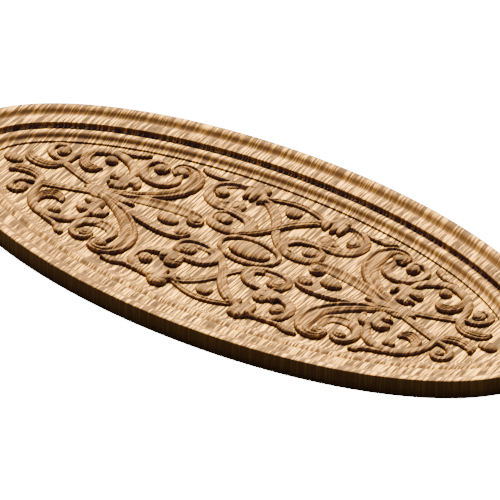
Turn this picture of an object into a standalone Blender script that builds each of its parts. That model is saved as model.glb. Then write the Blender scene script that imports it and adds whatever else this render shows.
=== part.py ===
"""Oval medallion carved in one board of light wood.

The board lies face up: +X is its long way, +Y its short way and +Z comes out of the carved face. The origin
is the middle of its flat back. Every size is in millimetres until a point becomes a vertex.

The rim moulding is a profile carried round the oval. The scrollwork is drawn for one quarter of the oval, as
bands that follow a smooth line, as domes and as leaf fingers. A Boolean joins them to the board, and a
Mirror keeps that quarter and repeats it across both middle lines.
"""
import math

import bmesh
import bpy

MM = 0.001

# The board
HALF_LENGTH = 300.0
HALF_WIDTH = 133.6
THICKNESS = 18.2
GROUND = 5.9
ROOT = 3.0
RIM_STEPS = 14
RING_STEPS = 20

# The rim moulding from the back edge inwards: distance in from the outer edge, and height above the back
RIM_PROFILE = (
    (0.0, 0.0), (0.0, 17.2), (1.2, THICKNESS), (7.0, 17.9), (11.0, 15.9), (15.5, 14.3), (23.0, 14.0),
    (23.6, 9.8), (26.0, 9.3), (29.0, 10.4), (32.6, 11.2), (37.4, 7.8), (41.4, 7.4), (41.8, GROUND),
)

# A band has steep sides and a flat top of this share of its breadth
TOP_SHARE = 0.5
TURN_PER_STEP = math.radians(50)
LONGEST_STEP = 30.0

# Bands of the quarter: crest height above the ground, then points of the middle line with half widths
BANDS = {
    "crossing_scroll": (3.9, (
        (-31, 69, 4.2), (-22, 64.5, 5.0), (-13, 57.3, 5.3), (-5.5, 48.5, 5.0), (0, 40, 4.4), (5, 32, 3.8),
        (12, 23.8, 3.6), (21, 17, 3.4), (32, 14.2, 4.0), (45, 14.2, 4.2), (54, 18.8, 3.8), (57, 26, 2.9),
        (52.5, 31.6, 2.3), (45, 33.2, 1.8))),
    "great_scroll": (3.6, (
        (46, 76, 3.2), (60, 75, 3.1), (70, 70.5, 3.0), (77, 63, 2.8), (79, 55, 2.9), (76, 47, 3.8),
        (68, 41.6, 4.6), (57, 39.4, 4.1), (44, 38.4, 3.4), (30, 37.2, 4.4), (20, 33, 5.2), (17.4, 26, 4.8),
        (21.5, 20, 2.8), (27, 18.6, 1.4))),
    "edge_sprig": (3.9, ((64, 75.6, 2.0), (78, 74, 2.8), (86, 74.8, 4.2), (93, 75.6, 4.8), (98.2, 77, 2.2))),
    "horn_leaf": (4.3, (
        (152, 3, 4.0), (138, 7, 5.0), (125, 13, 6.0), (112, 21.5, 7.0), (102, 31, 7.6), (96, 40.5, 8.2),
        (94, 50, 9.0), (95.2, 59.5, 8.0), (100.5, 67.4, 6.0), (108.5, 70.4, 4.2), (115.6, 68, 4.0),
        (118, 62, 3.4), (115.6, 57.4, 2.2))),
    "outer_scroll": (3.8, (
        (109.5, 55, 3.6), (108.6, 47, 5.0), (112.8, 40.6, 5.2), (121.5, 37.6, 5.4), (131.5, 38.6, 5.2),
        (139.4, 43.8, 4.9), (143.2, 52, 4.2), (141, 60, 3.4), (134, 64.2, 2.9), (126.6, 62.6, 2.4),
        (123, 58, 1.8))),
    "rim_sprig": (3.6, ((174, 56.6, 1.6), (163, 58.6, 3.2), (154.5, 62.8, 5.2), (147.5, 66.2, 3.0))),
    "loop_stem": (4.0, (
        (150, 2, 3.4), (135, 5, 4.2), (119, 8.8, 4.6), (105.5, 12.2, 5.2), (92, 14.8, 5.7), (80, 16.2, 5.8),
        (69, 16.4, 5.0), (60.4, 15, 3.6), (56.4, 9.4, 2.2), (59.4, 4.6, 1.4))),
    "long_stem": (4.1, (
        (142.6, 29, 3.0), (144, 36.5, 4.0), (149, 44.2, 4.8), (158, 50, 4.9), (168.5, 52.6, 4.6),
        (179.5, 51.6, 5.0), (189.5, 46.6, 4.8), (197, 38.4, 4.4), (200.8, 29, 4.2), (202.6, 19.6, 4.2),
        (206.6, 11.8, 4.6), (214.5, 7.8, 5.6), (224, 7.6, 5.9), (231.5, 10.2, 5.6), (234.4, 14.4, 3.0))),
    "fluted_leaf": (3.9, (
        (185, 49.6, 1.4), (189.6, 43.6, 2.6), (191.2, 36, 4.0), (188.8, 28.4, 4.9), (182, 24.2, 5.4),
        (175.6, 26.2, 3.8), (173, 30, 1.4))),
    "end_scroll": (3.7, (
        (206.4, 19.4, 2.6), (213.6, 20.4, 3.2), (220, 23.8, 3.6), (223.6, 30, 3.5), (221, 36.6, 3.5),
        (214, 38.4, 2.9), (208.8, 35.4, 2.0))),
    "outward_strap": (3.4, ((157, 3, 3.6), (170, 7, 4.0), (184, 11.6, 4.2), (199, 16.6, 3.8))),
}

# Bands that cross a middle line and are their own mirror image there
ARCH = (3.4, ((-30, 71.6, 2.4), (-22, 74.4, 3.0), (-12, 77.4, 3.4), (0, 78.9, 3.6),
              (12, 77.4, 3.4), (22, 74.4, 3.0), (30, 71.6, 2.4)))
CALYX_HEART = (3.7, ((98, 0, 1.4), (118, 0, 5.0), (138, 0, 7.6), (154, 0, 9.6), (163, 0, 5.6), (169, 0, 1.0)))

# The oval ring round the boss, by its outer half axes and its breadth at the side and at the top
RING_OUTER = (31.0, 19.2)
RING_BREADTH = (4.8, 6.6)
RING_HEIGHT = 3.6

# A dome is a frustum, this much of its half axes at the root and at its shoulder, with a raised middle
DOME_SIDES = 8
DOME_ROOT = 1.2
DOME_SHOULDER = 0.72
DOME_SHOULDER_HEIGHT = 0.74

# Domes: middle, half axes, crest height above the ground
DOMES = {
    "boss": ((0, 0), (19.6, 9.8), 5.0),
    "bead": ((83.5, 0), (10.6, 6.8), 4.4),
    "bean": ((0, 66.4), (8.2, 6.0), 3.8),
    "inner_eye": ((43.6, 25.4), (7.4, 6.2), 4.2),
    "great_eye": ((67, 57.6), (6.4, 6.2), 4.4),
    "horn_eye": ((110.6, 61.6), (6.4, 5.2), 4.2),
    "outer_eye": ((128.6, 56), (6.6, 6.2), 4.6),
    "loop_eye": ((64.4, 9.6), (6.0, 6.2), 4.6),
    "end_eye": ((212.4, 31), (4.9, 4.7), 4.4),
    "curled_leaf": ((47, 48.2), (8.2, 7.2), 4.0),
    "bud": ((170.6, 43.4), (5.8, 5.4), 3.8),
    "cup_crown": ((40.6, 76), (10.8, 9.2), 4.8),
    "calyx_crown": ((145, 20.4), (12.8, 12.4), 4.6),
    "end_bud": ((242.4, 0), (9.4, 5.9), 3.8),
}

# A leaf finger narrows to this share of its breadth at its foot
TIP_SHARE = 0.74

# Leaf fingers: foot, tip, half width at the foot, crest height above the ground
FINGERS = {
    "cup_finger_left": ((36.6, 73), (33.8, 61.6), 3.3, 4.2),
    "cup_finger_middle": ((42, 73), (42.4, 60.4), 3.3, 4.3),
    "cup_finger_right": ((47.4, 74), (50, 63), 3.3, 4.2),
    "calyx_finger_up": ((147, 24), (159.4, 28.2), 5.0, 4.3),
    "calyx_finger_out": ((148, 17), (161, 17.6), 3.9, 4.2),
    "calyx_finger_down": ((146, 14), (156, 9), 3.8, 4.1),
    "calyx_finger_back": ((142, 23), (130, 26.4), 5.0, 4.3),
    "calyx_finger_low": ((141, 18), (131, 16.4), 3.6, 4.1),
    "calyx_finger_foot": ((144, 14), (141, 6.6), 3.9, 4.0),
}

WOOD_COLOUR = (0.55, 0.36, 0.19, 1.0)
WOOD_ROUGHNESS = 0.55


def make_material():
    material = bpy.data.materials.new("carved_wood")
    material.use_nodes = True
    shader = material.node_tree.nodes["Principled BSDF"]
    shader.inputs["Base Color"].default_value = WOOD_COLOUR
    shader.inputs["Roughness"].default_value = WOOD_ROUGHNESS
    shader.inputs["Metallic"].default_value = 0.0
    return material


def make_object(name, bm):
    bmesh.ops.recalc_face_normals(bm, faces=bm.faces)
    mesh = bpy.data.meshes.new(name)
    bm.to_mesh(mesh)
    bm.free()
    return bpy.data.objects.new(name, mesh)


def turn_between(before, start, end, after):
    """How far the line turns on its way from start to end."""
    way_in = math.atan2(end[1] - before[1], end[0] - before[0])
    way_out = math.atan2(after[1] - start[1], after[0] - start[0])
    return abs((way_out - way_in + math.pi) % (2 * math.pi) - math.pi)


def smooth_line(points):
    """Points of a Catmull-Rom curve through the given ones, closer together where it turns."""
    first = [2 * a - b for a, b in zip(points[0], points[1])]
    last = [2 * a - b for a, b in zip(points[-1], points[-2])]
    held = [first, *points, last]
    line = []
    for before, start, end, after in zip(held, held[1:], held[2:], held[3:]):
        by_turn = round(turn_between(before, start, end, after) / TURN_PER_STEP)
        by_length = round(math.dist(start[:2], end[:2]) / LONGEST_STEP)
        count = max(1, by_turn, by_length)
        for index in range(count):
            t = index / count
            line.append([
                0.5 * (2 * b + (c - a) * t + (2 * a - 5 * b + 4 * c - d) * t ** 2
                       + (3 * b - a - 3 * c + d) * t ** 3)
                for a, b, c, d in zip(before, start, end, after)])
    line.append(list(points[-1]))
    return line


def section_at(half_width, height):
    """A band's cross section as (sideways, height above the back), from its left foot round to its bottom."""
    crest = GROUND + height
    top = half_width * TOP_SHARE
    return (-half_width, ROOT), (-top, crest), (top, crest), (half_width, ROOT)


def make_band(name, height, points):
    """A closed bar with the band's section, carried along the smooth line through the points."""
    line = smooth_line(points)
    around = len(section_at(1.0, 1.0))
    bm = bmesh.new()
    bmesh.ops.create_grid(bm, x_segments=len(line) - 1, y_segments=around, size=0.5)
    for vert in bm.verts:
        along = round((vert.co.x + 0.5) * (len(line) - 1))
        corner = round((vert.co.y + 0.5) * around) % around
        before = line[max(0, along - 1)]
        after = line[min(len(line) - 1, along + 1)]
        x, y, half_width = line[along]
        length = math.dist(before[:2], after[:2])
        way = ((after[0] - before[0]) / length, (after[1] - before[1]) / length)
        side, z = section_at(half_width, height)[corner]
        vert.co = ((x - way[1] * side) * MM, (y + way[0] * side) * MM, z * MM)
    bmesh.ops.remove_doubles(bm, verts=bm.verts, dist=0.01 * MM)
    bmesh.ops.holes_fill(bm, edges=bm.edges, sides=around)
    return make_object(name, bm)


def make_finger(name, foot, tip, half_width, height):
    """A leaf finger: a short band that narrows to a blunt tip."""
    return make_band(name, height, ((*foot, half_width), (*tip, half_width * TIP_SHARE)))


def make_dome(name, middle, half_axes, height):
    """A knob with steep sides and a top that rises to its middle."""
    bm = bmesh.new()
    bmesh.ops.create_cone(
        bm, cap_ends=True, segments=DOME_SIDES, radius1=DOME_ROOT, radius2=DOME_SHOULDER, depth=1.0)
    top = max(bm.faces, key=lambda face: face.calc_center_median().z)
    crown = bmesh.ops.poke(bm, faces=[top])["verts"][0]
    for vert in bm.verts:
        z = GROUND + height * DOME_SHOULDER_HEIGHT if vert.co.z > 0 else ROOT
        x = middle[0] + half_axes[0] * vert.co.x
        y = middle[1] + half_axes[1] * vert.co.y
        vert.co = (x * MM, y * MM, z * MM)
    crown.co.z = (GROUND + height) * MM
    return make_object(name, bm)


def make_ring():
    """The oval band round the boss, broader above and below than at its sides."""
    line = []
    for index in range(RING_STEPS + 1):
        turn = 2 * math.pi * index / RING_STEPS
        breadth = math.hypot(RING_BREADTH[0] * math.cos(turn), RING_BREADTH[1] * math.sin(turn))
        line.append((
            (RING_OUTER[0] - breadth / 2) * math.cos(turn), (RING_OUTER[1] - breadth / 2) * math.sin(turn),
            breadth / 2))
    return make_band("boss_ring", RING_HEIGHT, line)


def make_board():
    """The oval board with its rim moulding and its flat sunk ground."""
    around = 4 * RIM_STEPS
    rows = len(RIM_PROFILE) - 1
    bm = bmesh.new()
    bmesh.ops.create_grid(bm, x_segments=around, y_segments=rows, size=0.5)
    for vert in bm.verts:
        turn = 2 * math.pi * (round((vert.co.x + 0.5) * around) % around) / around
        inwards, z = RIM_PROFILE[round((vert.co.y + 0.5) * rows)]
        outward = (HALF_WIDTH * math.cos(turn), HALF_LENGTH * math.sin(turn))
        length = math.hypot(*outward)
        vert.co = (
            (HALF_LENGTH * math.cos(turn) - inwards * outward[0] / length) * MM,
            (HALF_WIDTH * math.sin(turn) - inwards * outward[1] / length) * MM, z * MM)
    bmesh.ops.remove_doubles(bm, verts=bm.verts, dist=0.01 * MM)
    bmesh.ops.holes_fill(bm, edges=bm.edges, sides=around)
    return make_object("carved_medallion", bm)


def mirrored(points, way_x, way_y):
    """The same points, turned over across the middle lines where a way is -1."""
    return tuple((x * way_x, y * way_y, *rest) for x, y, *rest in points)


def make_carving():
    """Every band, dome and finger that shows in the quarter, with the ones that reach in from its neighbours."""
    carving = []
    for name, (height, points) in BANDS.items():
        for way_x, way_y in ((1, 1), (-1, 1), (1, -1)):
            turned = mirrored(points, way_x, way_y)
            if any(x + half_width > 0 and y + half_width > 0 for x, y, half_width in turned):
                carving.append(make_band(f"{name}_{way_x}_{way_y}", height, turned))
    carving.append(make_band("arch", *ARCH))
    carving.append(make_band("calyx_heart", *CALYX_HEART))
    carving.append(make_ring())
    for name, (middle, half_axes, height) in DOMES.items():
        carving.append(make_dome(name, middle, half_axes, height))
    for name, finger in FINGERS.items():
        carving.append(make_finger(name, *finger))
    return carving


def main():
    for old in list(bpy.data.objects):
        bpy.data.objects.remove(old)
    scene_collection = bpy.context.scene.collection
    board = make_board()
    board.data.materials.append(make_material())
    scene_collection.objects.link(board)

    carving = bpy.data.collections.new("carving")
    scene_collection.children.link(carving)
    for guide in make_carving():
        guide.hide_render = True
        guide.display_type = "WIRE"
        carving.objects.link(guide)

    join = board.modifiers.new("carving", "BOOLEAN")
    join.operation = "UNION"
    join.solver = "EXACT"
    join.operand_type = "COLLECTION"
    join.collection = carving

    halves = board.modifiers.new("both_ways", "MIRROR")
    halves.use_axis = (True, True, False)
    halves.use_bisect_axis = (True, True, False)
    halves.use_clip = True
    halves.merge_threshold = 0.00002
    halves.bisect_threshold = 0.00001


main()
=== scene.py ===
"""Dressed model of the oval carved medallion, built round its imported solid.

Sizes are in millimetres until a point becomes a vertex. The relief is worked as a carver works it: bands and
knobs are raised from the ground, then grooves are cut into them.
"""
import math

import bmesh
import bpy
import numpy as np
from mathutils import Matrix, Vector


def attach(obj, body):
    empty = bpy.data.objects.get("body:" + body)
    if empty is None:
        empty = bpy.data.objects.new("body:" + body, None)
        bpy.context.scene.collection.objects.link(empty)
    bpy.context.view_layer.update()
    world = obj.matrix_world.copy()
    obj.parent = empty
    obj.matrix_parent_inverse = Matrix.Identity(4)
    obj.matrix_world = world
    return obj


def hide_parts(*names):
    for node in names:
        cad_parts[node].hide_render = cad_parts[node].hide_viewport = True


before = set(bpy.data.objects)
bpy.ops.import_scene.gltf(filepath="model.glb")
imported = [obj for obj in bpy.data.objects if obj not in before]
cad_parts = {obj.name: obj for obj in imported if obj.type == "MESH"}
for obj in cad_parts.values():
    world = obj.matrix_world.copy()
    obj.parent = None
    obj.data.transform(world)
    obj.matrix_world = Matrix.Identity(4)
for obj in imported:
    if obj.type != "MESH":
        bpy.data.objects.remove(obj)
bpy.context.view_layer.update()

MM = 0.001

# The board, as in the part's source
HALF_LENGTH = 300.0
HALF_WIDTH = 133.6
THICKNESS = 18.2
GROUND = 5.9
ROOT = 3.0
AROUND = 480

# The rim moulding from the back edge inwards: distance in from the outer edge, and height above the back
RIM_PROFILE = (
    (0.9, 0.0), (0.25, 0.25), (0.0, 0.9), (0.0, 9.0), (0.0, 16.6), (0.12, 17.2), (0.45, 17.7), (0.95, 18.05),
    (1.6, THICKNESS), (3.0, 18.18), (4.4, 18.1), (5.4, 17.95), (6.4, 17.6), (7.4, 17.05), (8.4, 16.35),
    (9.4, 15.6), (10.4, 14.9), (11.4, 14.4), (12.4, 14.12), (13.6, 14.05), (14.8, 14.2), (16.0, 14.4),
    (17.6, 14.5), (19.2, 14.42), (20.6, 14.2), (21.6, 14.05), (22.4, 14.0), (22.9, 13.9), (23.2, 13.7),
    (23.4, 13.5), (23.5, 12.4), (23.6, 10.6), (24.0, 9.9), (24.8, 9.5), (25.6, 9.4), (26.3, 9.45),
    (27.2, 9.7), (28.4, 10.2), (29.8, 10.7), (31.4, 11.1), (33.0, 11.1), (34.4, 10.6), (35.6, 9.7),
    (36.6, 8.7), (37.5, 8.05), (38.5, 7.65), (39.5, 7.45), (40.5, 7.4), (41.2, 7.38), (41.55, 7.2),
    (41.7, 6.6), (41.8, GROUND),
)

# How much painted shade the moulding gets, from 0 to 1, by the distance in from the outer edge: dark brown on
# its side, cove, walls and slopes where shade falls
RIM_PAINTED_SHADE = (
    (0.0, 0.97), (0.45, 0.95), (0.95, 0.75), (1.6, 0.5), (3.0, 0.1), (6.0, 0.3), (8.4, 0.85), (11.4, 0.85),
    (13.6, 0.3), (14.8, 0.0), (19.2, 0.0), (22.4, 0.3), (22.9, 0.6), (23.3, 0.85), (23.6, 0.9), (24.2, 0.3),
    (25.2, 0.0), (26.2, 0.75), (27.4, 0.8), (28.6, 0.0), (31.0, 0.0), (33.0, 0.55), (34.4, 0.85),
    (36.6, 0.8), (38.2, 0.4), (39.4, 0.6), (40.2, 0.0), (41.2, 0.0), (41.5, 1.0), (41.75, 1.0), (41.8, 0.0),
)

# The relief is worked on a square net
PITCH = 0.45  # between the lines of the net
STEEP = 4.0  # rise of the steepest wall for each millimetre in from its foot
LOWERED = 0.84  # share of their drawn height that bands and leaves keep
SOFT_EDGE = 1.6  # how far in from its edge a band reaches its full form
LEAST_HALF_WIDTH = 0.2
GROOVE_FLOOR = 0.15  # no groove goes deeper than this above the ground
FOOT = -1.2  # the net is kept where it stands above this
DEEP = -9.0  # where nothing is carved
STATION = 0.5  # between the stations of a smoothed line
DENSE = 40  # a line of this many points is smooth already
BATCH = 16384  # points of the net that are measured together

# Bands: points of the middle line with the half width at each
CROSSING = (
    (-31, 69, 4.2), (-22, 64.5, 5.0), (-13, 57.3, 5.3), (-5.5, 48.5, 5.0), (0, 40, 4.6), (5, 32, 4.2),
    (12, 23.8, 3.9), (20.5, 17, 3.5), (28, 14.2, 3.0))
INNER_VOLUTE = (
    (14, 21.6, 2.6), (21, 17.0, 3.4), (30, 13.4, 3.6), (41, 12.9, 3.7), (50, 15.2, 3.6), (54.8, 20, 3.4),
    (55.8, 26, 3.1), (53.6, 31.6, 2.8), (48.6, 35, 2.0))
VOLUTE_BED = ((25, 20.6, 1.0), (30, 18.6, 2.6), (37, 18.0, 3.0), (44, 18.4, 3.0), (50, 21, 2.6))
GREAT_SCROLL = (
    (46, 76.6, 3.0), (58, 75.8, 2.9), (69, 72, 3.2), (76, 65.6, 3.5), (78.4, 57.5, 4.2), (76.4, 50, 4.8),
    (71, 44.6, 5.1), (63.5, 41.4, 5.4), (55, 40.2, 5.0), (45, 38.8, 3.4), (36, 37.6, 3.0))
SCROLL_BED = ((52, 73.4, 1.2), (58, 73.4, 2.0), (65, 70, 2.8), (70, 65.6, 3.2), (73.6, 60, 3.0))
SCROLL_PETAL = (
    (56, 38.6, 2.6), (45, 39.0, 3.6), (36, 38.4, 4.1), (25.4, 36.2, 5.5), (18.6, 30, 6.4), (18.2, 24, 5.8),
    (22, 20.2, 3.9), (28, 19.2, 2.2))
EDGE_SPRIG = ((64, 75.6, 2.0), (78, 74, 2.6), (86, 75.2, 4.2), (93, 75.8, 4.4), (98.2, 76.6, 2.2))
HORN_LEAF = (
    (152, 3, 4.0), (138, 7, 5.0), (125, 13, 6.0), (112, 21.5, 7.0), (102, 31, 7.6), (96, 40.5, 8.2),
    (94, 50, 9.0), (95.2, 59.5, 8.0), (100.5, 67.4, 6.0), (108.5, 70.0, 4.2), (115.6, 68, 4.0),
    (118, 62, 3.4), (115.6, 57.4, 2.2))
OUTER_SCROLL = (
    (109.5, 55, 3.6), (108.6, 47, 5.0), (112.8, 40.6, 5.2), (121.5, 37.6, 5.4), (131.5, 38.6, 5.2),
    (139.4, 43.8, 4.9), (143.2, 52, 4.2), (141, 60, 3.4), (134, 64.2, 2.9), (126.6, 62.6, 2.4),
    (123, 58, 1.8))
RIM_SPRIG = ((174, 56.8, 1.6), (163, 58.8, 3.0), (156, 61.6, 3.2), (151.6, 65, 4.2), (148.6, 66.4, 3.4))
LOOP_STEM = (
    (150, 2, 3.4), (135, 5, 4.2), (119, 8.8, 4.6), (105.5, 12.2, 5.2), (92, 14.8, 5.7), (80, 16.2, 5.8),
    (69, 16.4, 5.0), (60.4, 15, 3.6), (56.4, 9.4, 2.2), (59.4, 4.6, 1.4))
LONG_STEM = (
    (142.6, 29, 3.0), (144, 36.5, 4.0), (149, 44.2, 4.8), (158, 50, 4.9), (168.5, 52.6, 4.6),
    (179.5, 51.6, 5.0), (189.5, 46.6, 4.8), (197, 38.4, 4.4), (200.8, 29, 4.2), (202.6, 19.6, 4.2),
    (206.6, 11.8, 4.6), (214.5, 7.8, 5.6), (224, 7.6, 5.9), (231.5, 10.2, 5.6), (234.4, 14.4, 3.0))
FLUTED_LEAF = (
    (186, 50, 1.6), (190.4, 43.6, 3.2), (191.6, 36, 4.5), (189, 28.6, 5.5), (182, 24.4, 6.1),
    (175.8, 26, 4.6), (172.8, 29, 2.4))
END_SCROLL = (
    (206.4, 19.4, 2.6), (213.6, 20.4, 3.2), (220, 23.8, 3.6), (223.6, 30, 3.5), (221, 36.6, 3.5),
    (214, 38.4, 2.9), (208.8, 35.4, 2.0))
OUTWARD_STRAP = ((157, 3, 3.6), (170, 7, 4.0), (184, 11.6, 4.2), (199, 16.6, 3.8))
ARCH = ((-30, 71.6, 2.4), (-22, 74.4, 3.0), (-12, 77.4, 3.4), (0, 78.9, 3.6),
        (12, 77.4, 3.4), (22, 74.4, 3.0), (30, 71.6, 2.4))
CALYX_HEART = ((120, 0, 2.4), (138, 0, 6.6), (154, 0, 9.4), (163, 0, 5.6), (169, 0, 1.0))

# Leaves: their outlines
CUP_LEAF = (
    (29, 64), (33, 61), (35.0, 60.6), (36.2, 63), (36.8, 68), (38.0, 66), (38.6, 61.6), (41, 60),
    (43.6, 61.2), (44.8, 63.6), (46.2, 61.6), (49.4, 61), (51.4, 64.4), (52.6, 71), (53, 77), (50.4, 80.4),
    (47, 83.8), (43, 85.6), (38, 84.8), (33.4, 83), (31.8, 78), (32.4, 74.4), (28.6, 73.2), (25, 73.4),
    (23.6, 71), (26.2, 69.2), (23.8, 67.4), (25, 65.2))
LEAF_CURL = (
    (37.4, 42), (38.6, 46.4), (39.4, 50.4), (42, 53.8), (46, 55.6), (50.2, 55), (52.4, 52), (54.4, 49),
    (58, 46.4), (60, 42), (52, 38), (42, 38.6))
CALYX_LEAF = (
    (140, 33.6), (135, 33), (131, 30.4), (128.8, 26.4), (128.4, 22), (130.4, 18.2), (133, 18.6), (134.6, 22),
    (137.6, 21), (137.4, 17.6), (138.6, 13.4), (141.4, 10.4), (145, 9.4), (148.4, 10.6), (150.6, 9.8),
    (153.2, 11.6), (153, 13.4), (156.8, 14.4), (158, 16.8), (154.6, 18.4), (149.6, 21), (154, 22),
    (158.4, 21.8), (160, 25.4), (158, 29.6), (153.6, 32.6), (148.6, 32.6), (145.8, 31), (144.4, 34),
    (141.6, 34.6))

# Fine lines cut along the leaves
CUP_VEINS = (
    ((36.8, 66.6), (37.6, 69.6), (39.4, 72)), ((32.6, 74.2), (36, 76.6), (39, 77.6)),
    ((33.6, 81.6), (38.6, 80.6), (43, 81.2), (47, 82.6)))
CALYX_VEINS = (
    ((138.2, 32.4), (139.2, 28), (138.6, 24), (136.8, 21)),
    ((149, 31.6), (148.2, 28), (148.6, 24.4), (150.4, 21.6)),
    ((131.6, 23), (134, 22.8), (135.8, 25.2), (135.2, 28.6)),
    ((157, 24), (153.8, 23.8), (152.2, 26.2), (152.8, 29)),
    ((150.6, 20.4), (147, 18.6), (143.6, 19.2)), ((142, 12), (143.4, 15), (143.2, 18)))

# Heights across a band, from its right edge to its left edge
ROUND = tuple(math.sqrt(1 - (index / 8 - 1) ** 2) for index in range(17))
LEFT_STEEP = (0, 0.44, 0.62, 0.75, 0.85, 0.92, 0.97, 1.0, 0.99, 0.90)
RIGHT_STEEP = LEFT_STEEP[::-1]
THREE_RIBS = (0, 0.60, 0.84, 0.70, 0.90, 1.0, 0.90, 0.70, 0.84, 0.60, 0)
TWO_RIBS = (0, 0.72, 1.0, 0.84, 0.54, 0.84, 1.0, 0.72, 0)
FLUTED = (0, 0.64, 0.80, 0.44, 0.86, 0.50, 0.92, 0.56, 1.0, 0.72, 0)
LEFT_LOW = (0, 0.82, 1.0, 0.92, 0.74, 0.58, 0.48, 0.42, 0.38, 0.34, 0.30)
LEFT_SCOOP = (0, 0.68, 0.96, 1.0, 0.80, 0.60, 0.50, 0.46, 0.46, 0.36)
PETAL = (0, 0.66, 0.92, 1.0, 0.94, 0.84, 0.78, 0.78, 0.84, 0.88, 0.66)
HORN_FORM = (0.2, 0.46, 0.66, 0.82, 0.92, 0.90, 0.66, 0.42, 0.52, 0.92, 0.96, 0.66, 0)
RING_FORM = (0, 0.56, 0.78, 0.92, 1.0, 0.98, 0.92, 0.84, 0.74)

# The boss's ring: its outer half axes, and how broad it is across and along the board
RING_OUTSIDE = (31.0, 19.2)
RING_BREADTH = (4.8, 6.8)

# Wood tones from pale to dark, the dark brown painted shade for grooves and walls, and how strongly pores and
# grain show
BOARD_WOOD = {
    "light": (0.92, 0.565, 0.096), "middle": (0.130, 0.079, 0.039), "dark": (0.044, 0.0245, 0.0130),
    "painted_shade_color": (0.042, 0.0225, 0.0045), "pores": 0.8, "relief": 0.25}
CARVED_WOOD = {
    "light": (0.28, 0.170, 0.057), "middle": (0.108, 0.066, 0.034), "dark": (0.048, 0.0270, 0.0140),
    "painted_shade_color": (0.046, 0.0245, 0.0050), "pores": 0.6, "relief": 0.2}
# Lighter painted shade, where the painted shade is weak
THIN_PAINTED_SHADE = (0.14, 0.084, 0.050)
PORE = (0.030, 0.0150, 0.0060)
SHADED_BAND = (0.90, 0.88, 0.86)

# The studio: a broad key light, a weak cool sky, and a floor that the camera sees as white
KEY_FROM = (-0.50, 0.80, 0.86)
KEY_STRENGTH = 40.0
KEY_COLOR = (1.0, 0.73, 0.36)
KEY_BREADTH = 16
SKY_COLOR = (0.28, 0.32, 0.9)
SKY_STRENGTH = 0.6
FLOOR_SIZE = 6.0
FLOOR_DROP = 0.4
FLOOR_GLOW = 16.0
FLOOR_BOUNCE = 0.2

# The camera: where it stands round the board, what it aims at, and the metres that its frame spans
AZIMUTH = 34.5
ELEVATION = 35.57
AIM_HEIGHT = 0.0074
AIM_RIGHT = 0.00054
AIM_UP = 0.00076
FRAME_SPAN = 0.4214
LENS = 1500
SENSOR = 36


def smooth_line(points, step=STATION):
    """Stations along a Catmull-Rom curve through the points, about a step apart."""
    held = np.array([2 * np.array(points[0]) - points[1], *points, 2 * np.array(points[-1]) - points[-2]])
    line = []
    for before, start, end, after in zip(held, held[1:], held[2:], held[3:]):
        count = max(1, round(float(np.hypot(*(end - start)[:2])) / step))
        for index in range(count):
            t = index / count
            line.append(0.5 * (2 * start + (end - before) * t
                               + (2 * before - 5 * start + 4 * end - after) * t ** 2
                               + (3 * start - before - 3 * end + after) * t ** 3))
    line.append(np.array(points[-1], float))
    return np.array(line)


def ways_of(line):
    """The direction of a line at each of its stations."""
    way = np.gradient(line[:, :2], axis=0)
    return way / np.linalg.norm(way, axis=1)[:, None]


def strand(points, aside, breadth, start=0.0, end=1.0):
    """A narrower line that runs within a band, aside from its middle as a share of its half width."""
    line = smooth_line(points)
    way = ways_of(line)
    reach = np.hypot(*np.diff(line[:, :2], axis=0).T).cumsum()
    along = np.concatenate([[0.0], reach]) / reach[-1]
    kept = (along >= start) & (along <= end)
    shifted = line.copy()
    shifted[:, 0] -= way[:, 1] * aside * line[:, 2]
    shifted[:, 1] += way[:, 0] * aside * line[:, 2]
    shifted[:, 2] *= breadth
    return shifted[kept]


def mirrored(points, way_x, way_y):
    """The points turned over to other quarters."""
    return tuple((x * way_x, y * way_y, *rest) for x, y, *rest in points)


def spiral(middle, axes, start, turns, outer, inner, breadth):
    """Points of a line that winds inwards; start is in degrees, and negative turns wind clockwise."""
    points = []
    for share in np.linspace(0, 1, 29):
        turn = math.radians(start) + 2 * math.pi * turns * share
        reach = outer + (inner - outer) * share
        points.append((middle[0] + axes[0] * reach * math.cos(turn),
                       middle[1] + axes[1] * reach * math.sin(turn), breadth * (1 - 0.4 * share)))
    return points


def joined_up(points):
    """Stations along a line, smoothed unless it is dense already."""
    return smooth_line(points) if len(points) < DENSE else np.array(points)


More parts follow.
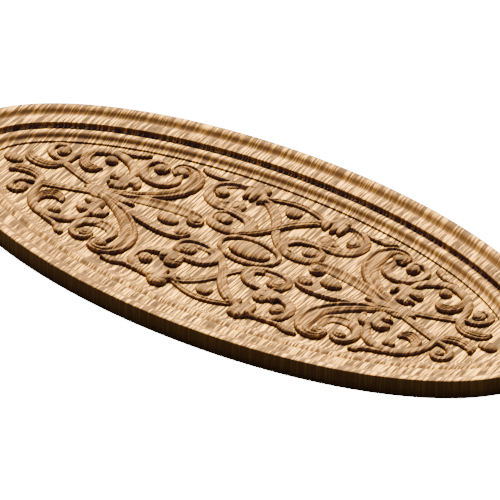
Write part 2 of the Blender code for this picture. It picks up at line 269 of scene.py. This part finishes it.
class Relief:
    """Heights above the ground over one quarter of the field, on the net."""

    def __init__(self, x_to, y_to):
        self.x = np.arange(0, x_to + PITCH / 2, PITCH)
        self.y = np.arange(0, y_to + PITCH / 2, PITCH)
        self.z = np.full((len(self.y), len(self.x)), DEEP)

    def widened(self):
        """The same relief with its mirror image on the other side of the short middle line."""
        whole = Relief(0, 0)
        whole.x = np.concatenate([-self.x[:0:-1], self.x])
        whole.y = self.y
        whole.z = np.concatenate([self.z[:, :0:-1], self.z], axis=1)
        return whole

    def beside(self, line):
        """The patch of the net near a line, each point's nearest station, and how far it is from the line."""
        reach = line[:, 2].max() + 2.0
        columns = slice(np.searchsorted(self.x, line[:, 0].min() - reach),
                        np.searchsorted(self.x, line[:, 0].max() + reach))
        rows = slice(np.searchsorted(self.y, line[:, 1].min() - reach),
                     np.searchsorted(self.y, line[:, 1].max() + reach))
        x, y = np.meshgrid(self.x[columns], self.y[rows])
        points = np.stack([x.ravel(), y.ravel()], axis=1).astype(np.float32)
        stations = line[:, :2].astype(np.float32)
        nearest = np.zeros(len(points), int)
        for start in range(0, len(points), BATCH):
            part = points[start:start + BATCH]
            apart = ((part[:, None, 0] - stations[None, :, 0]) ** 2
                     + (part[:, None, 1] - stations[None, :, 1]) ** 2)
            nearest[start:start + BATCH] = apart.argmin(axis=1)
        gap = points - stations[nearest]
        way = ways_of(line)[nearest]
        side = way[:, 0] * gap[:, 1] - way[:, 1] * gap[:, 0]
        at_end = (nearest == 0) | (nearest == len(line) - 1)
        away = np.where(at_end, np.hypot(gap[:, 0], gap[:, 1]), np.abs(side))
        shape = x.shape
        return (rows, columns), nearest.reshape(shape), side.reshape(shape), away.reshape(shape)

    def band(self, points, crest, form=ROUND):
        """Raises a band with this form across it."""
        line = joined_up(points)
        patch, nearest, side, away = self.beside(line)
        half_width = np.maximum(line[nearest, 2], LEAST_HALF_WIDTH)
        inside = half_width - away
        across = smooth_line([(index, 0, height) for index, height in enumerate(form)], 0.05)
        place = (np.clip(side / half_width, -1, 1) + 1) / 2 * (len(form) - 1)
        top = LOWERED * crest * np.interp(place, across[:, 0], across[:, 2])
        top *= np.clip(inside / SOFT_EDGE, 0, 1) ** 0.4
        self.z[patch] = np.maximum(self.z[patch], np.minimum(top, STEEP * inside))

    def leaf(self, outline, crest, soft):
        """Raises a leaf inside an outline, full in its middle and rolled down to its edge."""
        edge = smooth_line([(x, y, 0.0) for x, y in (*outline, outline[0])], 0.4)
        patch, nearest, _, _ = self.beside(edge)
        x, y = np.meshgrid(self.x[patch[1]], self.y[patch[0]])
        reach = np.hypot(x - edge[nearest, 0], y - edge[nearest, 1])
        within = np.zeros(x.shape, bool)
        for (x0, y0, _), (x1, y1, _) in zip(edge, np.roll(edge, -1, axis=0)):
            if y0 != y1:
                within ^= ((y0 > y) != (y1 > y)) & (x < (x1 - x0) * (y - y0) / (y1 - y0) + x0)
        share = np.clip(reach / soft, 0, 1)
        top = LOWERED * crest * np.sqrt(1 - (1 - share) ** 2)
        old = self.z[patch]
        self.z[patch] = np.where(within, np.maximum(old, np.minimum(top, STEEP * reach)), old)

    def groove(self, points, depth):
        """Cuts a rounded groove along a line."""
        line = joined_up(points)
        patch, nearest, _, away = self.beside(line)
        half_width = np.maximum(line[nearest, 2], LEAST_HALF_WIDTH)
        share = np.clip(1 - away / half_width, 0, 1)
        ease = share * share * (3 - 2 * share)
        old = self.z[patch]
        cut = np.maximum(old - depth * ease, GROOVE_FLOOR)
        self.z[patch] = np.where(old > GROOVE_FLOOR, cut, old)

    def dome(self, middle, axes, crest, fullness=2.2):
        """Raises an oval knob."""
        x, y = np.meshgrid(self.x - middle[0], self.y - middle[1])
        out = np.hypot(x / axes[0], y / axes[1])
        share = np.clip(1 - out, 0, 1)
        top = crest * (1 - (1 - share) ** fullness) ** (1 / fullness)
        self.z = np.maximum(self.z, np.minimum(top, STEEP * (1 - out) * min(axes)))

    def eye(self, middle, axes, crest, start, turns):
        """Raises a volute's round eye, with its winding line."""
        self.dome(middle, axes, crest)
        self.groove(spiral(middle, axes, start, turns, 1.05, 0.1, 0.75), 0.9)

    def veins(self, lines, depth, breadth):
        """Cuts fine lines along a leaf."""
        for points in lines:
            self.groove([(x, y, breadth) for x, y in points], depth)


def carve_centre():
    """The boss and its ring, the crossed scrolls with their leaf curls, the arch and the edge sprigs."""
    relief = Relief(106, 90)
    for way in (1, -1):
        relief.band(mirrored(CROSSING, way, 1), 2.9, THREE_RIBS)
    relief.band(INNER_VOLUTE, 4.0, LEFT_STEEP)
    relief.band(VOLUTE_BED, 1.5)
    relief.leaf(LEAF_CURL, 4.2, 4.0)
    relief.dome((45.0, 47.6), (8.2, 8.2), 4.6)
    relief.dome((55.2, 45.6), (5.4, 5.2), 5.0)
    relief.groove(spiral((55.2, 45.6), (5.6, 5.4), 300, 0.85, 1.0, 0.45, 0.9), 1.2)
    relief.groove(spiral((46.4, 46.8), (5.8, 6.2), 270, -0.62, 0.9, 0.6, 1.0), 1.1)
    relief.groove(spiral((52.4, 44.4), (16.4, 9.4), 196, -0.3, 1.0, 0.92, 0.8), 0.7)
    relief.band(SCROLL_PETAL, 4.0, PETAL)
    relief.band(GREAT_SCROLL, 4.1, RIGHT_STEEP)
    relief.band(SCROLL_BED, 1.6)
    for aside, start, end in ((0.2, 0.5, 0.94), (-0.35, 0.56, 0.9)):
        relief.groove(strand(GREAT_SCROLL, aside, 0.14, start, end), 0.35)
    relief.groove(strand(SCROLL_PETAL, 0.15, 0.12, 0.2, 0.9), 0.4)
    relief.eye((44.8, 26.6), (8.8, 6.9), 4.2, 200, 1.3)
    relief.eye((67, 57.4), (6.8, 6.2), 4.7, 150, 1.2)
    relief.band(ARCH, 2.7, TWO_RIBS)
    relief.dome((0, 66.8), (8.0, 6.8), 3.9)
    relief.leaf(CUP_LEAF, 5.2, 4.4)
    relief.veins(CUP_VEINS, 0.6, 0.9)
    relief.dome((48.4, 76), (4.4, 4.0), 5.4)
    relief.band(EDGE_SPRIG, 3.7)
    relief.groove(strand(EDGE_SPRIG, -0.1, 0.2, 0.1, 0.96), 0.5)
    ring = []
    for index in range(25):
        turn = math.pi * (index / 24 - 0.25)
        half = math.hypot(RING_BREADTH[0] * math.cos(turn), RING_BREADTH[1] * math.sin(turn)) / 2
        x = (RING_OUTSIDE[0] - half) * math.cos(turn)
        y = (RING_OUTSIDE[1] - half) * math.sin(turn)
        ring.append((x, y, half))
    relief.band(ring, 3.5, RING_FORM)
    relief.dome((0, 0), (20.6, 10.8), 5.3, 2.5)
    relief = relief.widened()
    relief.band(mirrored(CROSSING[1:8], -1, 1), 4.2, THREE_RIBS)
    return relief


def carve_end():
    """Horn leaf, looped stem, outer scroll, long stem with its leaves, calyx and end bud."""
    relief = Relief(256, 84)
    relief.band(LOOP_STEM, 4.1, LEFT_LOW)
    relief.eye((63.0, 9.6), (7.4, 6.6), 4.9, 100, 1.1)
    relief.band(HORN_LEAF, 4.4, HORN_FORM)
    for aside in (-0.5, -0.15):
        relief.groove(strand(HORN_LEAF, aside, 0.1, 0.02, 0.5), 0.35)
    relief.eye((111.6, 61.6), (7.0, 5.6), 4.6, 200, 1.0)
    relief.band(OUTER_SCROLL, 3.9, LEFT_SCOOP)
    relief.band(OUTER_SCROLL[4:], 3.9)
    relief.groove(strand(OUTER_SCROLL, -0.05, 0.12, 0.02, 0.6), 0.35)
    relief.eye((128.9, 56), (6.9, 6.0), 4.7, 210, 1.2)
    relief.band(RIM_SPRIG, 3.6)
    relief.groove(strand(RIM_SPRIG, 0.0, 0.2, 0.1, 0.96), 0.5)
    relief.band(FLUTED_LEAF, 4.1, FLUTED)
    relief.band(LONG_STEM, 4.1)
    for aside in (-0.5, -0.05, 0.4):
        relief.groove(strand(LONG_STEM, aside, 0.2, 0.76, 0.98), 1.0)
    relief.dome((170.8, 42.8), (6.3, 5.4), 4.3)
    relief.band(END_SCROLL, 3.8)
    relief.groove(strand(END_SCROLL, -0.2, 0.14, 0.1, 0.9), 0.4)
    relief.eye((212.4, 31), (6.2, 5.8), 3.9, 180, 1.0)
    for way in (1, -1):
        relief.band(mirrored(OUTWARD_STRAP, 1, way), 3.0, THREE_RIBS)
    relief.band(mirrored(LONG_STEM[9:], 1, -1), 4.0)
    relief.band(CALYX_HEART, 3.8)
    relief.leaf(CALYX_LEAF, 4.9, 3.4)
    relief.veins(CALYX_VEINS, 0.6, 0.9)
    relief.dome((83.4, 0), (10.7, 6.8), 4.4)
    relief.dome((242.4, 0), (9.6, 5.9), 3.8)
    relief.groove(((243.6, -7, 0.8), (243.2, 0, 0.8), (243.6, 7, 0.8)), 1.0)
    return relief


def finished(bm, name, sharp=None):
    """A smoothly shaded object of the mesh; edges sharper than this many degrees stay hard."""
    bmesh.ops.recalc_face_normals(bm, faces=bm.faces)
    mesh = bpy.data.meshes.new(name)
    bm.to_mesh(mesh)
    bm.free()
    mesh.shade_smooth()
    if sharp is not None:
        mesh.set_sharp_from_angle(angle=math.radians(sharp))
    piece = bpy.data.objects.new(name, mesh)
    bpy.context.scene.collection.objects.link(piece)
    return piece


def painted_shade_amounts(heights):
    """Painted shade for each point of the carving, from 0 to 1: darker in grooves, at the feet of walls and
    on steep walls, where shade falls.
    """
    top = np.maximum(heights, -0.4)
    about = top.copy()
    for _ in range(5):
        for axis in (0, 1):
            about = (np.roll(about, 1, axis) + 2 * about + np.roll(about, -1, axis)) / 4
    slope = np.hypot(*np.gradient(top, PITCH))
    sunk = 0.5 * np.clip((about - top - 0.05) / 0.6, 0, 1)
    foot = np.clip(2.2 - top, 0, 1) * np.clip((slope - 0.7) / 0.8, 0, 1)
    steep = 0.8 * np.clip((slope - 1.0) / 3.2, 0, 1)
    return np.clip(sunk + foot + steep, 0, 1)


def make_relief(name, relief, first, last, top_row):
    """A closed body between two columns of the net: its top is the relief, its root is in the board."""
    columns, rows = last - first, 2 * top_row
    across = first + np.arange(columns + 1)
    across = across - round(relief.x[0] / PITCH) if relief.x[0] < 0 else np.abs(across)
    up = np.abs(np.arange(rows + 1) - top_row)
    heights = relief.z[np.minimum(up, len(relief.y) - 1)][:, np.minimum(across, len(relief.x) - 1)]
    high = heights > FOOT
    kept = high[1:, 1:] | high[:-1, 1:] | high[1:, :-1] | high[:-1, :-1]
    # Two kept squares that touch at a corner alone get a third beside them, so that the skirt stays closed
    for _ in range(4):
        rising = kept[1:, 1:] & kept[:-1, :-1] & ~kept[1:, :-1] & ~kept[:-1, 1:]
        falling = kept[1:, :-1] & kept[:-1, 1:] & ~kept[1:, 1:] & ~kept[:-1, :-1]
        kept[1:, :-1] |= rising
        kept[1:, 1:] |= falling
    bm = bmesh.new()
    bmesh.ops.create_grid(bm, x_segments=columns, y_segments=rows, size=0.5)
    shown = kept.tolist()
    spare = []
    for face in bm.faces:
        middle = face.calc_center_median()
        if not shown[int((middle.y + 0.5) * rows)][int((middle.x + 0.5) * columns)]:
            spare.append(face)
    level = np.maximum(heights + GROUND, ROOT + 0.5).tolist()
    # depth here is painted shade: darker in grooves and on walls
    depth = painted_shade_amounts(heights).tolist()
    painted_shade = bm.verts.layers.float.new("painted_shade")
    for vert in bm.verts:
        column, row = round((vert.co.x + 0.5) * columns), round((vert.co.y + 0.5) * rows)
        vert.co = ((first + column) * PITCH * MM, (row - top_row) * PITCH * MM, level[row][column] * MM)
        vert[painted_shade] = depth[row][column]
    bmesh.ops.delete(bm, geom=spare, context="FACES")
    rim = [edge for edge in bm.edges if edge.is_boundary]
    skirt = bmesh.ops.extrude_edge_only(bm, edges=rim)["geom"]
    for item in skirt:
        if isinstance(item, bmesh.types.BMVert):
            item.co.z = ROOT * MM
    rim = [item for item in skirt if isinstance(item, bmesh.types.BMEdge) and item.is_boundary]
    bmesh.ops.triangle_fill(bm, edges=rim, use_beauty=False, use_dissolve=False, normal=Vector((0, 0, -1)))
    return finished(bm, name)


def make_board():
    """The oval board: its flat back, its side, the rim moulding and the flat sunk ground."""
    rows = len(RIM_PROFILE) - 1
    bm = bmesh.new()
    bmesh.ops.create_grid(bm, x_segments=AROUND, y_segments=rows, size=0.5)
    # Painted shade along the moulding, by the distance in from the outer edge
    painted_shade = bm.verts.layers.float.new("painted_shade")
    for vert in bm.verts:
        turn = 2 * math.pi * (round((vert.co.x + 0.5) * AROUND) % AROUND) / AROUND
        inwards, z = RIM_PROFILE[round((vert.co.y + 0.5) * rows)]
        vert[painted_shade] = float(np.interp(inwards, *zip(*RIM_PAINTED_SHADE)))
        outward = (HALF_WIDTH * math.cos(turn), HALF_LENGTH * math.sin(turn))
        length = math.hypot(*outward)
        vert.co = (
            (HALF_LENGTH * math.cos(turn) - inwards * outward[0] / length) * MM,
            (HALF_WIDTH * math.sin(turn) - inwards * outward[1] / length) * MM, z * MM)
    bmesh.ops.remove_doubles(bm, verts=bm.verts, dist=0.01 * MM)
    bmesh.ops.holes_fill(bm, edges=bm.edges, sides=AROUND)
    return finished(bm, "moulded_board", 32)


def node(tree, kind, **values):
    """A shader node with its properties set."""
    made = tree.nodes.new(kind)
    for key, value in values.items():
        setattr(made, key, value)
    return made


def make_grain_group():
    """Grain that runs along the short way: broad bands, fine streaks and open pores."""
    group = bpy.data.node_groups.new("open_grain", "ShaderNodeTree")
    sockets = group.interface
    sockets.new_socket("Position", in_out="INPUT", socket_type="NodeSocketVector")
    looks = ("Streak", "Bands", "Pores", "Height")
    for name in looks:
        sockets.new_socket(name, in_out="OUTPUT", socket_type="NodeSocketFloat")
    links = group.links
    start = group.nodes.new("NodeGroupInput")
    end = group.nodes.new("NodeGroupOutput")

    def stretched(scale, detail, roughness, distortion):
        """Noise with this many cells to the metre along each axis."""
        mapping = node(group, "ShaderNodeMapping")
        mapping.inputs["Scale"].default_value = scale
        noise = node(group, "ShaderNodeTexNoise")
        noise.inputs["Scale"].default_value = 1.0
        noise.inputs["Detail"].default_value = detail
        noise.inputs["Roughness"].default_value = roughness
        noise.inputs["Distortion"].default_value = distortion
        links.new(start.outputs["Position"], mapping.inputs["Vector"])
        links.new(mapping.outputs["Vector"], noise.inputs["Vector"])
        return noise.outputs["Fac"]

    def ranged(source, low, high):
        """The source eased from 0 to 1 between two values."""
        step = node(group, "ShaderNodeMapRange", interpolation_type="SMOOTHSTEP")
        step.inputs["From Min"].default_value = low
        step.inputs["From Max"].default_value = high
        links.new(source, step.inputs["Value"])
        return step.outputs["Result"]

    streak = ranged(stretched((660, 30, 16), 2.0, 0.5, 0.2), 0.44, 0.59)
    bands = ranged(stretched((80, 34, 40), 3.0, 0.55, 0.4), 0.36, 0.64)
    pores = ranged(stretched((900, 60, 24), 0.0, 0.4, 0.0), 0.55, 0.61)
    height = node(group, "ShaderNodeMath", operation="MULTIPLY_ADD")
    height.inputs[1].default_value = -0.8
    links.new(pores, height.inputs[0])
    links.new(streak, height.inputs[2])
    for name, source in zip(looks, (streak, bands, pores, height.outputs[0])):
        links.new(source, end.inputs[name])
    return group


def make_wood(name, grain, light, middle, dark, painted_shade_color, pores, relief):
    """Bare light wood with its grain, and dark brown painted shade in the grooves and on the walls that the
    attribute marks.
    """
    material = bpy.data.materials.new(name)
    material.use_nodes = True
    tree = material.node_tree
    links = tree.links
    shader = tree.nodes["Principled BSDF"]
    place = node(tree, "ShaderNodeTexCoord")
    pattern = node(tree, "ShaderNodeGroup", node_tree=grain)
    links.new(place.outputs["Object"], pattern.inputs["Position"])
    tones = node(tree, "ShaderNodeValToRGB")
    tones.color_ramp.elements[0].color = (*dark, 1)
    tones.color_ramp.elements[1].color = (*light, 1)
    between = tones.color_ramp.elements.new(0.4)
    between.color = (*middle, 1)
    links.new(pattern.outputs["Streak"], tones.inputs["Fac"])
    shade = node(tree, "ShaderNodeValToRGB")
    shade.color_ramp.elements[0].color = (*SHADED_BAND, 1)
    shade.color_ramp.elements[1].color = (1, 1, 1, 1)
    links.new(pattern.outputs["Bands"], shade.inputs["Fac"])
    warm = node(tree, "ShaderNodeMix", data_type="RGBA", blend_type="MULTIPLY")
    warm.inputs["Factor"].default_value = 1.0
    links.new(tones.outputs["Color"], warm.inputs["A"])
    links.new(shade.outputs["Color"], warm.inputs["B"])
    open_pores = node(tree, "ShaderNodeMath", operation="MULTIPLY")
    open_pores.inputs[1].default_value = pores
    links.new(pattern.outputs["Pores"], open_pores.inputs[0])
    pored = node(tree, "ShaderNodeMix", data_type="RGBA", blend_type="MIX")
    pored.inputs["B"].default_value = (*PORE, 1)
    links.new(open_pores.outputs[0], pored.inputs["Factor"])
    links.new(warm.outputs["Result"], pored.inputs["A"])
    # Painted shade: the attribute's share mixes dark brown over the wood, lighter where the share is small
    carved = node(tree, "ShaderNodeAttribute", attribute_name="painted_shade")
    painted_shade_tones = node(tree, "ShaderNodeValToRGB")
    painted_shade_tones.color_ramp.elements[0].position = 0.4
    painted_shade_tones.color_ramp.elements[0].color = (*THIN_PAINTED_SHADE, 1)
    painted_shade_tones.color_ramp.elements[1].color = (*painted_shade_color, 1)
    links.new(carved.outputs["Fac"], painted_shade_tones.inputs["Fac"])
    painted_shade_mix = node(tree, "ShaderNodeMix", data_type="RGBA", blend_type="MIX")
    links.new(painted_shade_tones.outputs["Color"], painted_shade_mix.inputs["B"])
    links.new(carved.outputs["Fac"], painted_shade_mix.inputs["Factor"])
    links.new(pored.outputs["Result"], painted_shade_mix.inputs["A"])
    links.new(painted_shade_mix.outputs["Result"], shader.inputs["Base Color"])
    bump = node(tree, "ShaderNodeBump")
    bump.inputs["Strength"].default_value = 0.6
    bump.inputs["Distance"].default_value = relief * MM
    links.new(pattern.outputs["Height"], bump.inputs["Height"])
    links.new(bump.outputs["Normal"], shader.inputs["Normal"])
    shader.inputs["Roughness"].default_value = 0.62
    shader.inputs["Specular IOR Level"].default_value = 0.05
    return material


def make_floor():
    """A plain floor just under the board, white to the camera and dim to the medallion."""
    bm = bmesh.new()
    bmesh.ops.create_grid(bm, x_segments=1, y_segments=1, size=FLOOR_SIZE)
    for vert in bm.verts:
        vert.co.z = -FLOOR_DROP * MM
    floor = finished(bm, "pale_floor")
    material = bpy.data.materials.new("pale_floor_finish")
    material.use_nodes = True
    tree = material.node_tree
    shader = tree.nodes["Principled BSDF"]
    shader.inputs["Base Color"].default_value = (0.85, 0.85, 0.85, 1)
    shader.inputs["Roughness"].default_value = 0.9
    shader.inputs["Emission Color"].default_value = (1, 1, 1, 1)
    shader.inputs["Emission Strength"].default_value = FLOOR_GLOW
    dim = node(tree, "ShaderNodeBsdfDiffuse")
    dim.inputs["Color"].default_value = (FLOOR_BOUNCE, FLOOR_BOUNCE, FLOOR_BOUNCE, 1)
    seen = node(tree, "ShaderNodeLightPath")
    mix = node(tree, "ShaderNodeMixShader")
    tree.links.new(seen.outputs["Is Camera Ray"], mix.inputs[0])
    tree.links.new(dim.outputs[0], mix.inputs[1])
    tree.links.new(shader.outputs[0], mix.inputs[2])
    tree.links.new(mix.outputs[0], tree.nodes["Material Output"].inputs["Surface"])
    floor.data.materials.append(material)


def make_light_and_camera():
    """The studio's light, and a long lens at the photograph's angle."""
    scene = bpy.context.scene
    world = bpy.data.worlds.new("studio")
    world.use_nodes = True
    sky = world.node_tree.nodes["Background"]
    sky.inputs["Color"].default_value = (*SKY_COLOR, 1)
    sky.inputs["Strength"].default_value = SKY_STRENGTH
    scene.world = world
    sun = bpy.data.lights.new("key", "SUN")
    sun.energy = KEY_STRENGTH
    sun.color = KEY_COLOR
    sun.angle = math.radians(KEY_BREADTH)
    key = bpy.data.objects.new("key", sun)
    key.rotation_mode = "QUATERNION"
    key.rotation_quaternion = Vector(KEY_FROM).normalized().to_track_quat("Z", "Y")
    scene.collection.objects.link(key)

    azimuth, elevation = math.radians(AZIMUTH), math.radians(ELEVATION)
    back = Vector((math.sin(azimuth) * math.cos(elevation), -math.cos(azimuth) * math.cos(elevation),
                   math.sin(elevation)))
    right = Vector((math.cos(azimuth), math.sin(azimuth), 0))
    upwards = back.cross(right)
    lens = bpy.data.cameras.new("view")
    lens.sensor_width = SENSOR
    lens.lens = LENS
    aim = Vector((0, 0, AIM_HEIGHT)) + right * AIM_RIGHT + upwards * AIM_UP
    distance = FRAME_SPAN * LENS / SENSOR
    camera = bpy.data.objects.new("view", lens)
    camera.location = aim + back * distance
    camera.rotation_mode = "QUATERNION"
    camera.rotation_quaternion = back.to_track_quat("Z", "Y")
    lens.clip_start, lens.clip_end = 1.0, 100.0
    scene.collection.objects.link(camera)
    scene.camera = camera


make_light_and_camera()
make_floor()
grain = make_grain_group()
board_wood = make_wood("board_wood_finish", grain, **BOARD_WOOD)
carved_wood = make_wood("carved_wood_finish", grain, **CARVED_WOOD)
centre = carve_centre()
end = carve_end()
board = make_board()
board.data.materials.append(board_wood)
carvings = [
    make_relief("centre_scrollwork", centre, -235, 235, 200),
    make_relief("right_acanthus", end, 112, 567, 187),
    make_relief("left_acanthus", end, -567, -112, 187),
]
for carving in carvings:
    carving.data.materials.append(carved_wood)
for piece in (board, *carvings):
    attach(piece, "root")
    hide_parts("carved_medallion")
